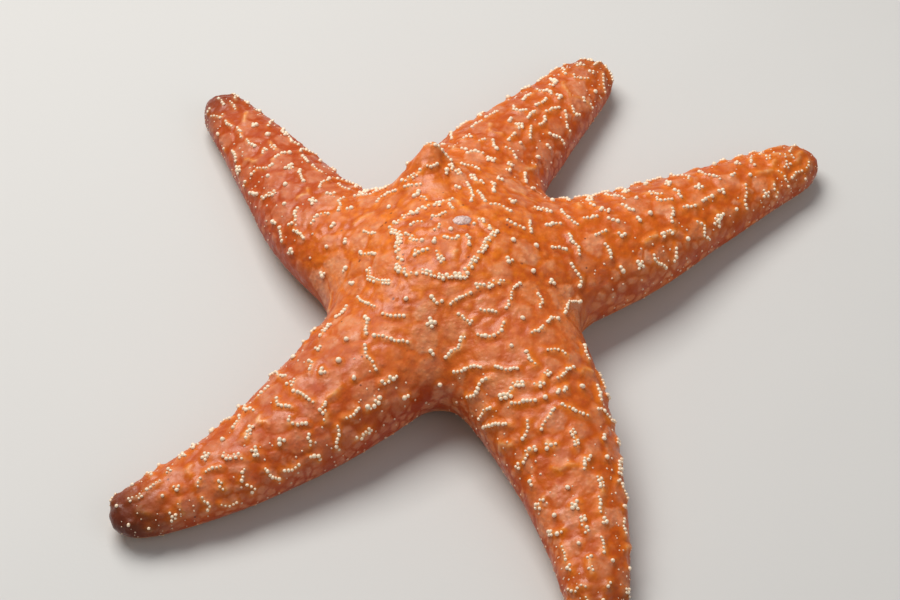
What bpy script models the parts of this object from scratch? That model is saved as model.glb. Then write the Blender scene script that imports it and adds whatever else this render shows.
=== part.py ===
"""Ochre sea star, life size, resting on its underside.

Five stout arms run out of a domed disc and bend a little in the plane of the floor. The rear edge of
the disc is pushed up into a rim that ends in a pinched, pointed fold between the two rear arms, and
the rear right arm leaves from under that rim. The body is modelled whole, cut flat where it rests,
hollowed by the arms' grooves and the mouth, and then parted by thin cuts into the disc and five arms.
Bands of tube feet fill the grooves, a soft membrane closes the mouth, and the sieve plate sits in a
pocket on the disc.

Metres, +Z up, +X to the right and +Y to the rear. The origin is on the floor, under the middle of the
body's box.
"""

import math
from collections import namedtuple

import bmesh
import bpy
from mathutils import Matrix, Vector

MM = 0.001

# The disc.
DISC_MIDDLE = Vector((-7.0, 7.0, 0.0)) * MM
DISC_SIZE = Vector((38.0, 37.0, 28.5)) * MM
DISC_WAIST = 9.0 * MM  # height of the disc's widest level

# The arms: headings from +X, counter-clockwise, in degrees, turned by turn_in over the inner half of
# an arm and by turn_out over its outer half; length in millimetres; girth is a factor on the
# half-widths below, and rise one on the section's height.
Arm = namedtuple("Arm", "name heading turn_in turn_out length girth rise")
ARMS = (
    Arm("arm_right", 10, 25, -5, 125, 1.0, 0.95),
    Arm("arm_rear_right", 95, -40, -5, 110, 1.05, 0.9),
    Arm("arm_rear_left", 165, -45, 5, 115, 0.95, 0.95),
    Arm("arm_left", 235, -15, -20, 125, 1.0, 1.0),
    Arm("arm_front", 305, -15, -20, 120, 1.05, 1.0),
)
ROOT_WIDTH = 22.0 * MM  # half-widths at the root, halfway and near the tip
MIDDLE_WIDTH = 15.0 * MM
TIP_WIDTH = 9.5 * MM
ARM_STEPS = 28
ROOT_AT = 0.30  # shares of an arm's length at which its three half-widths lie
MIDDLE_AT = 0.62
TIP_AT = 0.93
TIP_ROUND = 1.25  # length of the rounded tip, in tip half-widths
TIP_BLUNTNESS = 2.6
ARCH = 0.74  # height of an arm's upper half over its half-width
SINK = 0.56  # height of an arm's widest level over its half-width
CROWN = 6.0 * MM  # how much higher an arm starts inside the disc
TIP_LIFT = 1.2 * MM

# The rim behind the disc and the fold at its end, as places from the disc's middle and radii.
RIM = (
    (Vector((-3.0, 27.0, 24.0)) * MM, 9.0 * MM),
    (Vector((8.0, 26.0, 23.0)) * MM, 8.5 * MM),
    (Vector((17.0, 20.0, 22.0)) * MM, 8.5 * MM),
    (Vector((24.0, 12.0, 19.0)) * MM, 8.5 * MM),
)
FOLD = (
    (Vector((-7.0, 12.0, 18.0)) * MM, 16.0 * MM),
    (Vector((-10.0, 26.0, 23.0)) * MM, 11.0 * MM),
    (Vector((-8.0, 33.5, 34.0)) * MM, 6.2 * MM),
    (Vector((-3.5, 38.0, 39.5)) * MM, 3.0 * MM),
)

# The skin of the whole body.
FUSE_VOXEL = 2.2 * MM
SMOOTH_ROUNDS = 4
SMOOTH_RADII = (62, 58, 54, 50, 46, 42, 38, 34, 30)  # millimetres, for blending the disc into the arms
FUSE_KEEP = 0.18  # share of the fused faces that is kept

# The underside.
GROOVE_RADIUS = 4.6 * MM
GROOVE_TAPER = 0.45  # share of a groove's radius that it loses along the arm
GROOVE_HEIGHT = 1.3  # height of a groove over its half-width
GROOVE_STEPS = 14
GROOVE_ROUNDNESS = 2
GROOVE_START = 4.0 * MM
GROOVE_TIP_MARGIN = 6.0 * MM
MOUTH_RADIUS = 9.5 * MM
MOUTH_HEIGHT = 8.0 * MM
MOUTH_LEVEL = 2.0 * MM
FEET_START = 12.5 * MM
FEET_END_MARGIN = 1.5 * MM
FEET_LEVEL = 0.8 * MM
CLEARANCE = 0.4 * MM

# The sieve plate (madreporite), beside the middle of the disc.
PLATE_PLACE = Vector((1.9, 7.0, 0.0)) * MM
PLATE_SIZE = Vector((3.0, 2.0, 1.6)) * MM
PLATE_TURN = math.radians(24)
PLATE_PROUD = 0.5 * MM

# The parting cuts.
PART_AT = 42.0 * MM  # distance from the disc's middle, along each arm
PART_HALF_WIDTH = 27.0 * MM
GAP = 0.3 * MM

HIGH = 80.0 * MM
WIDE = 300.0 * MM

SKIN_COLOUR = (0.72, 0.13, 0.03, 1.0)
PLATE_COLOUR = (0.55, 0.42, 0.42, 1.0)
FEET_COLOUR = (0.80, 0.55, 0.30, 1.0)
MOUTH_COLOUR = (0.66, 0.36, 0.20, 1.0)


# --- tools ------------------------------------------------------------------------------------------


def clear_scene():
    for thing in list(bpy.data.objects):
        bpy.data.objects.remove(thing, do_unlink=True)


def new_collection(name):
    collection = bpy.data.collections.new(name)
    bpy.context.scene.collection.children.link(collection)
    return collection


def make_material(name, colour, roughness):
    material = bpy.data.materials.new(name)
    material.use_nodes = True
    shader = material.node_tree.nodes["Principled BSDF"]
    shader.inputs["Base Color"].default_value = colour
    shader.inputs["Roughness"].default_value = roughness
    shader.inputs["Metallic"].default_value = 0.0
    return material


def add_object(name, mesh, collection):
    thing = bpy.data.objects.new(name, mesh)
    collection.objects.link(thing)
    return thing


def mesh_object(name, shape, collection):
    """Turns a bmesh into an object, and frees it."""
    mesh = bpy.data.meshes.new(name)
    shape.to_mesh(mesh)
    shape.free()
    return add_object(name, mesh, collection)


def settled(thing):
    """Replaces an object by the mesh that its curve or modifiers make, welded and in place."""
    bpy.context.view_layer.update()
    seen = thing.evaluated_get(bpy.context.evaluated_depsgraph_get())
    mesh = bpy.data.meshes.new_from_object(seen)
    shape = bmesh.new()
    shape.from_mesh(mesh)
    shape.transform(thing.matrix_world)
    bmesh.ops.remove_doubles(shape, verts=shape.verts, dist=0.001 * MM)
    name, collection = thing.name, thing.users_collection[0]
    bpy.data.objects.remove(thing, do_unlink=True)
    return mesh_object(name, shape, collection)


def tube(name, stations, flattening, collection, roundness=4):
    """A closed tube through (place, radius) stations, its section scaled in height."""
    curve = bpy.data.curves.new(name, "CURVE")
    curve.dimensions = "3D"
    curve.bevel_depth = 1.0
    curve.bevel_resolution = roundness
    curve.use_fill_caps = True
    spline = curve.splines.new("POLY")
    spline.points.add(len(stations) - 1)
    for point, (place, radius) in zip(spline.points, stations):
        point.co = (place.x, place.y, place.z / flattening, 1.0)
        point.radius = radius
    thing = add_object(name, curve, collection)
    thing.scale.z = flattening
    return settled(thing)


def ellipsoid(name, middle, radii, collection, turn=0.0, segments=20):
    shape = bmesh.new()
    bmesh.ops.create_uvsphere(shape, u_segments=segments, v_segments=segments // 2, radius=1.0)
    shape.transform(Matrix.LocRotScale(middle, Matrix.Rotation(turn, 3, "Z"), radii))
    return mesh_object(name, shape, collection)


def box(name, matrix, size, collection):
    """A box of a size, centred on a matrix's place and turned as it is."""
    shape = bmesh.new()
    bmesh.ops.create_cube(shape, size=1.0)
    shape.transform(matrix @ Matrix.Diagonal((*size, 1.0)))
    return mesh_object(name, shape, collection)


def under(level, cutters):
    """A cutter that holds everything below a level."""
    middle = Matrix.Translation((0.0, 0.0, level - HIGH / 2))
    return box("under", middle, (2 * WIDE, 2 * WIDE, HIGH), cutters)


def joined(name, things, collection):
    """One object that holds the shells of several."""
    shape = bmesh.new()
    for thing in things:
        shape.from_mesh(thing.data)
        bpy.data.objects.remove(thing, do_unlink=True)
    return mesh_object(name, shape, collection)


def cut(thing, cutter):
    """Takes a cutter away from an object."""
    cutter.hide_render = True
    cutter.display_type = "WIRE"
    modifier = thing.modifiers.new("cut", "BOOLEAN")
    modifier.operation = "DIFFERENCE"
    modifier.solver = "EXACT"
    modifier.object = cutter
    return settled(thing)


def fused(thing, voxel, keep):
    """An object's overlapping shells as one even skin, then thinned."""
    remesh = thing.modifiers.new("fuse", "REMESH")
    remesh.mode = "VOXEL"
    remesh.voxel_size = voxel
    thing = settled(thing)
    blend(thing)
    thin = thing.modifiers.new("thin", "DECIMATE")
    thin.ratio = keep
    return settled(thing)


def blend(thing):
    """Smooths the whole skin a little, and the disc into its arms a lot."""
    shape = bmesh.new()
    shape.from_mesh(thing.data)
    for _ in range(SMOOTH_ROUNDS):
        smooth(shape, shape.verts)
    for radius in SMOOTH_RADII:
        near = [v for v in shape.verts if is_near_disc(v.co, radius * MM)]
        for _ in range(SMOOTH_ROUNDS):
            smooth(shape, near)
    shape.to_mesh(thing.data)
    shape.free()


def smooth(shape, verts):
    bmesh.ops.smooth_vert(shape, verts=verts, factor=0.5, use_axis_x=True, use_axis_y=True, use_axis_z=True)


def is_near_disc(place, radius):
    return (place - DISC_MIDDLE).to_2d().length < radius


# --- arms -------------------------------------------------------------------------------------------


def half_width(arm, share):
    """An arm's half-width at a share of its length, through the three half-widths."""
    if share <= ROOT_AT:
        width = ROOT_WIDTH
    elif share <= MIDDLE_AT:
        part = (share - ROOT_AT) / (MIDDLE_AT - ROOT_AT)
        width = ROOT_WIDTH + (MIDDLE_WIDTH - ROOT_WIDTH) * part
    else:
        part = (share - MIDDLE_AT) / (TIP_AT - MIDDLE_AT)
        width = MIDDLE_WIDTH + (TIP_WIDTH - MIDDLE_WIDTH) * part
    return width * arm.girth


def tip_rounding(arm, share):
    """A factor that closes an arm's end as a rounded cap."""
    cap = TIP_WIDTH * arm.girth * TIP_ROUND / (arm.length * MM)
    past = max(0.0, (share - (1.0 - cap)) / cap)
    return math.sqrt(max(0.0, 1.0 - past**TIP_BLUNTNESS))


def heading_at(arm, share):
    turned = arm.turn_in * min(1.0, share * 2) + arm.turn_out * max(0.0, share * 2 - 1)
    return math.radians(arm.heading + turned)


def arm_place(arm, share):
    """The place on the floor under an arm's middle line, found by following its bends."""
    strides = max(1, round(share * ARM_STEPS * 2))
    place = DISC_MIDDLE.copy()
    for stride in range(strides):
        heading = heading_at(arm, share * (stride + 0.5) / strides)
        step = Vector((math.cos(heading), math.sin(heading), 0.0))
        place += step * arm.length * MM * share / strides
    return place


def arm_stations(arm):
    """Places and radii along an arm, closer together over its rounded tip."""
    stations = []
    for step in range(ARM_STEPS + 1):
        share = math.sin(0.5 * math.pi * step / ARM_STEPS)
        width = half_width(arm, share)
        place = arm_place(arm, share)
        place.z = SINK * width * arm.rise + TIP_LIFT * share**6
        place.z += CROWN * max(0.0, 1.0 - share / ROOT_AT)
        stations.append((place, max(width * tip_rounding(arm, share), 0.05 * MM)))
    return stations


def groove_tube(name, arm, start, end_margin, inset, collection):
    """A tube along an arm's groove, set in from the groove's wall."""
    length = arm.length * MM
    stop = length - GROOVE_TIP_MARGIN - end_margin
    stations = []
    for step in range(GROOVE_STEPS + 1):
        share = (start + (stop - start) * step / GROOVE_STEPS) / length
        radius = GROOVE_RADIUS * (1.0 - GROOVE_TAPER * share) - inset
        stations.append((arm_place(arm, share), radius))
    return tube(name, stations, GROOVE_HEIGHT, collection, GROOVE_ROUNDNESS)


# --- the body ---------------------------------------------------------------------------------------


def whole_body(cutters):
    shells = [tube(arm.name, arm_stations(arm), ARCH * arm.rise, cutters) for arm in ARMS]
    waist = DISC_MIDDLE + Vector((0.0, 0.0, DISC_WAIST))
    shells.append(ellipsoid("dome", waist, DISC_SIZE, cutters))
    for name, stations in (("rim", RIM), ("fold", FOLD)):
        placed = [(DISC_MIDDLE + place, radius) for place, radius in stations]
        shells.append(tube(name, placed, 1.0, cutters))
    return fused(joined("body", shells, cutters), FUSE_VOXEL, FUSE_KEEP)


def hollowed(body, cutters):
    """The body with its flat underside, the arms' grooves and the mouth."""
    body = cut(body, under(0.0, cutters))
    for arm in ARMS:
        body = cut(body, groove_tube("groove", arm, GROOVE_START, 0.0, 0.0, cutters))
    size = Vector((MOUTH_RADIUS, MOUTH_RADIUS, MOUTH_HEIGHT))
    return cut(body, ellipsoid("mouth_hollow", DISC_MIDDLE, size, cutters))


def plate_middle(body):
    """The middle of the sieve plate, which stands a little proud of the disc."""
    above = DISC_MIDDLE + PLATE_PLACE + Vector((0.0, 0.0, HIGH))
    surface = body.ray_cast(above, Vector((0.0, 0.0, -1.0)))[1]
    return surface + Vector((0.0, 0.0, PLATE_PROUD - PLATE_SIZE.z))


def with_pocket(body, middle, cutters):
    size = PLATE_SIZE + Vector((GAP, GAP, GAP))
    return cut(body, ellipsoid("pocket", middle, size, cutters, PLATE_TURN))


def parted(body, cutters):
    """The body cut into loose pieces by a thin plate across each arm's root."""
    for arm in ARMS:
        share = PART_AT / (arm.length * MM)
        turn = Matrix.Rotation(heading_at(arm, share), 4, "Z")
        matrix = Matrix.Translation(arm_place(arm, share)) @ turn
        plate = box("plate", matrix, (GAP, 2 * PART_HALF_WIDTH, 2 * HIGH), cutters)
        body = cut(body, plate)
    return body


def loose_pieces(body, collection):
    """The disc and the arms as objects of their own, each named by where it lies."""
    bpy.ops.object.select_all(action="DESELECT")
    bpy.context.view_layer.objects.active = body
    body.select_set(True)
    bpy.ops.mesh.separate(type="LOOSE")
    homes = {arm.name: arm_place(arm, MIDDLE_AT) for arm in ARMS}
    homes["disc"] = DISC_MIDDLE
    for piece in list(bpy.context.selected_objects):
        places = [v.co for v in piece.data.vertices]
        middle = sum(places, Vector()) / len(places)
        piece.name = min(homes, key=lambda name: (homes[name] - middle).to_2d().length)
        piece.data.name = piece.name
        move_to(piece, collection)


def move_to(piece, collection):
    for old in list(piece.users_collection):
        old.objects.unlink(piece)
    collection.objects.link(piece)


# --- soft parts -------------------------------------------------------------------------------------


def tube_feet(arm, star, cutters):
    name = arm.name.replace("arm", "tube_feet")
    band = groove_tube(name, arm, FEET_START, FEET_END_MARGIN, CLEARANCE, star)
    return cut(band, under(FEET_LEVEL, cutters))


def mouth(star, cutters):
    inset = Vector((CLEARANCE, CLEARANCE, CLEARANCE))
    size = Vector((MOUTH_RADIUS, MOUTH_RADIUS, MOUTH_HEIGHT)) - inset
    membrane = ellipsoid("mouth", DISC_MIDDLE, size, star)
    return cut(membrane, under(MOUTH_LEVEL, cutters))


def finish(things, material):
    for thing in things:
        thing.data.materials.append(material)
        thing.data.shade_smooth()
        thing.data.set_sharp_from_angle(angle=math.radians(50))


def main():
    clear_scene()
    star = new_collection("ochre_sea_star")
    cutters = new_collection("cutters")
    body = hollowed(whole_body(cutters), cutters)
    middle = plate_middle(body)
    body = parted(with_pocket(body, middle, cutters), cutters)
    loose_pieces(body, star)
    finish(list(star.objects), make_material("skin", SKIN_COLOUR, 0.35))
    feet = [tube_feet(arm, star, cutters) for arm in ARMS]
    finish(feet, make_material("tube_feet", FEET_COLOUR, 0.4))
    finish([mouth(star, cutters)], make_material("mouth", MOUTH_COLOUR, 0.45))
    plate = ellipsoid("sieve_plate", middle, PLATE_SIZE, star, PLATE_TURN)
    finish([plate], make_material("sieve_plate", PLATE_COLOUR, 0.5))


main()
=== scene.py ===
"""Looks of the ochre sea star: one wet skin over the disc and arms, with its coat of bead spines.

The skin is raised into soft ridges along a net of lines, with puffed patches between them. Chains of
cream beads stand on some of the ridges, smaller beads on the flanks, and short pegs on the underside.
"""

import math
import random
from collections import namedtuple

import bmesh
import bpy
import numpy as np
from mathutils import Euler, Matrix, Vector, noise
from mathutils.bvhtree import BVHTree
from mathutils.kdtree import KDTree


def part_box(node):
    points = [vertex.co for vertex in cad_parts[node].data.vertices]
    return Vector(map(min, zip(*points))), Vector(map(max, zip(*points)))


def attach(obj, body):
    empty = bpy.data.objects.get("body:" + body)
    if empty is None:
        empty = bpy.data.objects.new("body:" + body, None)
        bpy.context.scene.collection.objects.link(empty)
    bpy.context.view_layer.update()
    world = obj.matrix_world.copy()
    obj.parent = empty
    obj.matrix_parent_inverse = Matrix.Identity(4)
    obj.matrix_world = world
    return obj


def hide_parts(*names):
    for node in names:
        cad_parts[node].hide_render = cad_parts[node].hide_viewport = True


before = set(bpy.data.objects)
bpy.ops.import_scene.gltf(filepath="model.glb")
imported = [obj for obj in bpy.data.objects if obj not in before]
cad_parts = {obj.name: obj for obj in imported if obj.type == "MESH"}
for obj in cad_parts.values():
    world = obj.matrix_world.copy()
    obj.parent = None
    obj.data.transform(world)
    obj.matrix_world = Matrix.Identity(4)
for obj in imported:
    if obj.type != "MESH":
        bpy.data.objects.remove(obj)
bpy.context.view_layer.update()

MM = 0.001
UP = Vector((0.0, 0.0, 1.0))
FLESH = [name for name in sorted(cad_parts) if name == "disc" or name.startswith("arm_")]
ARMS = [name[4:] for name in FLESH if name.startswith("arm_")]
MIDDLE = (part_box("mouth")[0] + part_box("mouth")[1]) / 2
MIDDLE.z = 0.0
PLATE_MIDDLE = (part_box("sieve_plate")[0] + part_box("sieve_plate")[1]) / 2

# The skin.
PARTING_GAP = 0.3 * MM  # the cuts between the frame's solids, closed by swelling them by as much
SKIN_VOXEL = 1.55 * MM
SKIN_SMOOTHING = 5
COAT_DEPTH = 0.55 * MM  # how far the skin lies inside the solids
RIDGE_HEIGHT = 0.40 * MM  # of the ridges that carry chains of beads
RIDGE_WIDTH = 0.85 * MM
SWELL_HEIGHT = 0.5 * MM  # of the broad swelling that carries a chain on an arm
SWELL_WIDTH = 2.1 * MM
TROUGH_AT = 1.8 * MM  # how far beside a ridge its trough lies
TROUGH_WIDTH = 0.9 * MM
TROUGH_DEPTH = 0.16 * MM
PUFF_HEIGHT = 0.24 * MM  # of the soft patches between the lines of the net
NET_LINE = 0.18 * MM  # half-width of a line of the net
PATCH_EDGE = 1.9 * MM
PLATE_CLEARING = 3.6 * MM  # the skin lies flat this far round the sieve plate
UNDERSIDE_LEVEL = 3.0 * MM

# The coat.
BEAD_STEP = 1.0 * MM
BEAD_RADIUS = 0.57 * MM
DISC_BEADS = 1.02  # beads on the disc are this much smaller
SIDE_BEAD_RADIUS = 0.32 * MM
SPOT_WIDTH = 0.003  # side of one bead's place on its bake map

Chain = namedtuple("Chain", "line rows size", defaults=(1, 1.0))
Patch = namedtuple("Patch", "place radius tone")


# --- tools ------------------------------------------------------------------------------------------


def new_object(name, mesh):
    thing = bpy.data.objects.new(name, mesh)
    bpy.context.scene.collection.objects.link(thing)
    return thing


def mesh_object(name, shape, smooth=True):
    """Turns a bmesh into an object, and frees it."""
    mesh = bpy.data.meshes.new(name)
    shape.to_mesh(mesh)
    shape.free()
    if smooth:
        mesh.shade_smooth()
    return new_object(name, mesh)


def settled(thing):
    """Replaces an object's mesh by the one that its modifiers make."""
    seen = thing.evaluated_get(bpy.context.evaluated_depsgraph_get())
    mesh = bpy.data.meshes.new_from_object(seen)
    thing.modifiers.clear()
    thing.data = mesh
    return thing


def remove(thing):
    bpy.data.objects.remove(thing, do_unlink=True)


def places_of(mesh, what="vertices", key="co"):
    found = np.empty(len(getattr(mesh, what)) * 3, np.float32)
    getattr(mesh, what).foreach_get(key, found)
    return found.reshape(-1, 3).astype(float)


def give_values(mesh, name, values):
    layer = mesh.attributes.new(name, "FLOAT", "POINT")
    layer.data.foreach_set("value", np.asarray(values, np.float32))


def give_vectors(mesh, name, values):
    layer = mesh.attributes.new(name, "FLOAT_VECTOR", "POINT")
    layer.data.foreach_set("vector", np.asarray(values, np.float32).ravel())


def step_up(low, high, value):
    """A smooth step from 0 at low to 1 at high."""
    part = np.clip((value - low) / (high - low), 0.0, 1.0)
    return part * part * (3.0 - 2.0 * part)


def wander(places, wavelength, seed):
    """Smooth noise between about -1 and 1 at each place."""
    shift = Vector((seed * 7.3, seed * 3.1, seed * 5.7))
    return np.array([noise.noise(Vector(p) / wavelength + shift) for p in places])


# --- the arms' midlines -----------------------------------------------------------------------------


class Arm:
    """An arm's midline, length and half-width, found from its solids in the frame.

    A place on an arm is its reach, the distance from the disc's middle, and its angle round the arm: 0 on
    the crest and positive to the left of someone who looks out along the arm.
    """

    def __init__(self, name):
        self.name = name
        feet = places_of(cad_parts["tube_feet_" + name].data)[:, :2] - np.array(MIDDLE.xy)
        reach = np.linalg.norm(feet, axis=1)
        self.bend = np.linalg.lstsq(self.powers(reach), feet, rcond=None)[0]
        flesh = places_of(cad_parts["arm_" + name].data)[:, :2] - np.array(MIDDLE.xy)
        far = np.linalg.norm(flesh, axis=1)
        self.start, self.length = far.min(), far.max()
        self.knots = np.arange(self.start + 6 * MM, self.length - 2 * MM, 5 * MM)
        across = np.abs(self.offset(flesh, far))
        self.widths = [across[np.abs(far - knot) < 5 * MM].max() for knot in self.knots]

    @staticmethod
    def powers(reach):
        return np.stack([reach, reach**2, reach**3], -1)

    def place(self, reach):
        return self.powers(np.asarray(reach, float)) @ self.bend

    def heading(self, reach):
        reach = np.asarray(reach, float)
        slope = np.stack([np.ones_like(reach), 2 * reach, 3 * reach**2], -1) @ self.bend
        return slope / np.linalg.norm(slope, axis=-1, keepdims=True)

    def offset(self, flat, reach):
        """How far places on the floor lie to the left of the midline."""
        heading = self.heading(reach)
        apart = flat - self.place(reach)
        return heading[..., 0] * apart[..., 1] - heading[..., 1] * apart[..., 0]

    def half_width(self, reach):
        return float(np.interp(reach, self.knots, self.widths))

    def ray(self, reach, angle):
        """A start inside the arm and a direction outwards."""
        x, y = self.place(reach)
        along = self.heading(reach)
        side = Vector((-along[1], along[0], 0.0))
        start = MIDDLE + Vector((x, y, 0.45 * self.half_width(reach) + 1.5 * MM))
        turn = math.radians(angle)
        return start, UP * math.cos(turn) + side * math.sin(turn)


# --- the skin ---------------------------------------------------------------------------------------


def moved_out(mesh, distances):
    """Moves a mesh's vertices along their normals."""
    places = places_of(mesh) + places_of(mesh, "vertex_normals", "vector") * np.reshape(distances, (-1, 1))
    mesh.vertices.foreach_set("co", places.astype(np.float32).ravel())
    mesh.update()


def bare_skin():
    """The disc's and arms' solids as one closed, even skin, set in by the coat's depth."""
    shape = bmesh.new()
    for name in FLESH:
        shape.from_mesh(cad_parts[name].data)
    bmesh.ops.remove_doubles(shape, verts=shape.verts, dist=0.001 * MM)
    skin = mesh_object("star_skin", shape)
    moved_out(skin.data, np.full(len(skin.data.vertices), PARTING_GAP))
    fuse = skin.modifiers.new("fuse", "REMESH")
    fuse.mode = "VOXEL"
    fuse.voxel_size = SKIN_VOXEL
    settled(skin)
    shape = bmesh.new()
    shape.from_mesh(skin.data)
    for _ in range(SKIN_SMOOTHING):
        bmesh.ops.smooth_vert(
            shape, verts=shape.verts, factor=0.5, use_axis_x=True, use_axis_y=True, use_axis_z=True
        )
    shape.to_mesh(skin.data)
    shape.free()
    finer = skin.modifiers.new("finer", "SUBSURF")
    finer.levels = finer.render_levels = 1
    settled(skin)
    skin.data.shade_smooth()
    moved_out(skin.data, np.full(len(skin.data.vertices), -PARTING_GAP - COAT_DEPTH))
    return skin


class Surface:
    """The smooth skin, for finding places on it."""

    def __init__(self, mesh):
        shape = bmesh.new()
        shape.from_mesh(mesh)
        self.tree = BVHTree.FromBMesh(shape)
        shape.free()

    def on_arm(self, arm, reach, angle):
        place, normal = self.tree.ray_cast(*arm.ray(reach, angle))[:2]
        if place is None:
            return None
        return place, normal

    def from_above(self, x, y):
        start = MIDDLE + Vector((x, y, 80 * MM))
        place, normal = self.tree.ray_cast(start, -UP)[:2]
        return None if place is None else (place, normal)

    def from_below(self, x, y, level=-10 * MM):
        place, normal = self.tree.ray_cast(Vector((x, y, level)), UP)[:2]
        return None if place is None else (place, normal)


# --- lines on the skin ------------------------------------------------------------------------------


def walk(points, step):
    """Points at even steps along a flat or round line, the first and last included."""
    places = [Vector(p) for p in points]
    found = []
    for a, b in zip(places, places[1:]):
        count = max(1, round((b - a).length / step))
        found += [a.lerp(b, i / count) for i in range(count)]
    return found + [places[-1]]


def even_steps(spots, step):
    """Spots on a line picked so that they lie a step apart in space."""
    picked = spots[:1]
    for spot in spots[1:]:
        if (spot[0] - picked[-1][0]).length >= step:
            picked.append(spot)
    return picked


def arm_line(surface, arm, points, step):
    """Spots on the skin along a line given as (reach in millimetres, angle) points."""
    fine = walk([(reach, angle * 0.25) for reach, angle in points], 0.2)
    spots = [surface.on_arm(arm, p.x * MM, p.y * 4.0) for p in fine]
    return even_steps([s for s in spots if s is not None], step)


def disc_line(surface, points, step):
    """Spots on the skin along a line given as (x, y) millimetres from the disc's middle."""
    fine = walk(points, 0.2)
    spots = [surface.from_above(p.x * MM, p.y * MM) for p in fine]
    return even_steps([s for s in spots if s is not None], step)


# The net of bead chains, all in millimetres. Its rows go round the pentagon on the disc and across the
# arms, broken by gaps, and single clusters stand in some of the places that chains leave free.
PENTAGON_MIDDLE = Vector((-4.0, 1.0))  # from the disc's middle
PENTAGON_RADIUS = 15.5
PENTAGON_TURN = 8.0  # heading of its first corner, in degrees
PENTAGON_SWAY = 1.2
RING_MIDDLE = Vector((-3.5, 21.5))  # the ring of beads behind the pentagon
RING_RADIUS = 8.0
INNER_ROWS = (3.6, 8.2)  # radii of the rows of short chains inside the pentagon
OUTER_ROWS = (21.0, 27.0, 33.0, 39.0)
NET_START = 42.0  # reach at which the arms' rows take over from the disc's
ARM_ROW = 5.9  # from one row across an arm to the next
ROW_SPREAD = 150.0  # how much of the way round an arm a row takes, in degrees
ROW_SWAY = 1.3
CHAIN_LEAN = 4.2  # how far the two ends of a chain may lie apart beside its row
LONGEST_CHAIN = 9.5
LONGEST_INNER_CHAIN = 4.6
CHAIN_SHARE = 0.5  # of a row's places that hold a chain along it
LINK_SHARE = 0.2  # of them that hold a chain across it; the rest hold clusters
DOUBLE_SHARE = 0.16
BARE_SHARE = 0.1  # of the chains that are ridges without beads
LINE_CLEARING = 1.9  # between the chains of one part of the net and those of another


def polar(radius, turn):
    return Vector((math.cos(math.radians(turn)), math.sin(math.radians(turn)))) * radius


def pentagon_chains(chance):
    """Wavy double chains along the five sides, each side broken once."""
    corners = [PENTAGON_MIDDLE + polar(PENTAGON_RADIUS, PENTAGON_TURN + 72.0 * k) for k in range(6)]
    chains = []
    for start, end in zip(corners, corners[1:]):
        gap = chance.uniform(0.3, 0.7)
        across = (end - start).orthogonal().normalized()
        for low, high in ((0.0, gap - 0.04), (gap + 0.04, 1.0)):
            line = [start.lerp(end, low)]
            for share in (0.25, 0.5, 0.75):
                sway = across * chance.uniform(-PENTAGON_SWAY, PENTAGON_SWAY)
                line.append(start.lerp(end, low + (high - low) * share) + sway)
            chains.append(Chain(line + [start.lerp(end, high)], 2, 1.05))
    return chains


def net_row(place_at, length, longest, chance):
    """One row's chains and clusters; place_at turns lengths along and beside the row into a place."""
    chains, clusters = [], []
    at = chance.uniform(0.0, 3.0)
    while at < length:
        end = min(at + chance.uniform(0.3, 1.0) * longest, length)
        middle = (at + end) / 2
        kind = chance.random()
        if kind < CHAIN_SHARE:
            lean = chance.uniform(-CHAIN_LEAN, CHAIN_LEAN)
            line = []
            for share in (0.0, 0.3, 0.65, 1.0):
                beside = lean * (share - 0.5) + chance.uniform(-ROW_SWAY, ROW_SWAY)
                line.append(place_at(at + (end - at) * share, beside))
        elif kind < CHAIN_SHARE + LINK_SHARE:
            line = [place_at(middle + chance.uniform(-0.9, 0.9), beside) for beside in (-1.6, 0.4, 2.8)]
        else:
            clusters.append((place_at(middle, chance.uniform(-1.0, 1.0)), chance.choice((1, 1, 2, 3, 5))))
            line = None
        if line:
            rows = 2 if chance.random() < DOUBLE_SHARE else 1
            chains.append(Chain(line, rows, chance.uniform(0.88, 1.12)))
        at = end + chance.uniform(1.6, 4.4)
    return chains, clusters


def round_row(middle, radius, longest, chance):
    """A row round a circle on the disc."""
    first = chance.uniform(0.0, 360.0)

    def place_at(along, beside):
        return middle + polar(radius + beside, first + math.degrees(along / radius))

    return net_row(place_at, math.tau * radius - 2.0, longest, chance)


def across_row(arm, reach, longest, chance):
    """A row across an arm, as (reach, angle) places."""
    turn = math.degrees(1.0 / max(0.95 * arm.half_width(reach * MM) / MM, 6.0))

    def place_at(along, beside):
        return Vector((reach + beside, along * turn - ROW_SPREAD / 2))

    return net_row(place_at, ROW_SPREAD / turn, longest, chance)


def beside(spots, index):
    """The direction across a line at one of its spots, along the skin."""
    before = spots[max(0, index - 1)][0]
    after = spots[min(len(spots) - 1, index + 1)][0]
    return (after - before).cross(spots[index][1]).normalized()


def chain_beads(spots, chain, chance):
    """Beads along a line of spots, in one row or in two staggered ones, as (place, normal, size)."""
    beads = []
    for index, (place, normal) in enumerate(spots):
        across = beside(spots, index)
        shifts = (chance.gauss(0.0, 0.12),) if chain.rows == 1 else (0.48, -0.48)
        for row, shift in enumerate(shifts):
            if chain.rows == 2 and chance.random() < 0.3:
                continue
            along = across.cross(normal) * (0.35 * row + chance.gauss(0.0, 0.1))
            moved = place + (across * shift + along) * MM
            beads.append((moved, normal, chain.size * chance.uniform(0.68, 1.16)))
    return beads


def cluster_beads(spot, count, chance):
    """A few beads close together round a spot, the first of them the largest."""
    if spot is None:
        return []
    place, normal = spot
    across = normal.orthogonal().normalized()
    turn = chance.uniform(0.0, math.tau)
    beads = [(place, normal, chance.uniform(1.15, 1.4))]
    for index in range(count - 1):
        angle = turn + index * math.tau / 5.0 + chance.uniform(-0.3, 0.3)
        out = across.copy()
        out.rotate(Matrix.Rotation(angle, 3, normal))
        apart = chance.uniform(1.0, 1.3) * MM
        beads.append((place + out * apart, normal, chance.uniform(0.8, 1.15)))
    return beads


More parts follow.
